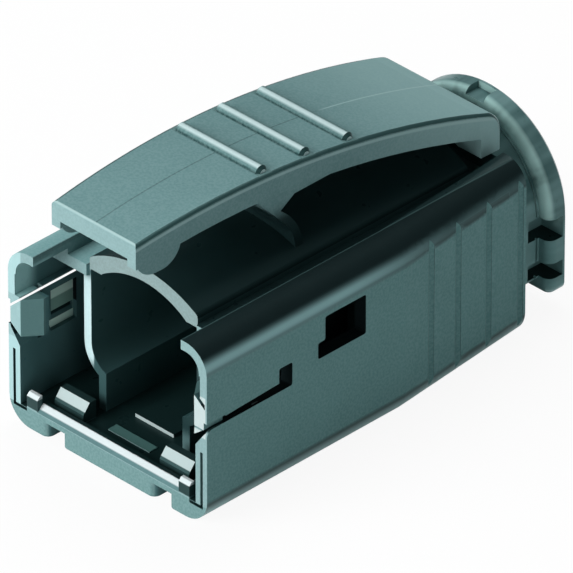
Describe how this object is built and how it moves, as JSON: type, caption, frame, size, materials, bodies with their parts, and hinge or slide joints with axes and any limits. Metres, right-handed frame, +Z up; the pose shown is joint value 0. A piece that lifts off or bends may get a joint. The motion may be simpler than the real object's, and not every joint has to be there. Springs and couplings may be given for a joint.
{
  "type": "strain relief boot",
  "caption": "Moulded strain relief boot for a modular network plug, with an open keyed mouth, a sprung latch lever above and a round cable outlet ring behind.",
  "frame": {"origin": "middle of the front edge of the underside, in the plane of the mouth", "axes": "+X across the boot, +Y from the mouth back to the cable outlet, +Z up towards the lever"},
  "size_m": [0.014, 0.028, 0.0158],
  "materials": {
    "plastic": "grey-green plastic, finely textured outside and polished at the shoulders, ring and inside"
  },
  "bodies": {
    "root": {"boot": "plastic"}
  },
  "joints": []
}
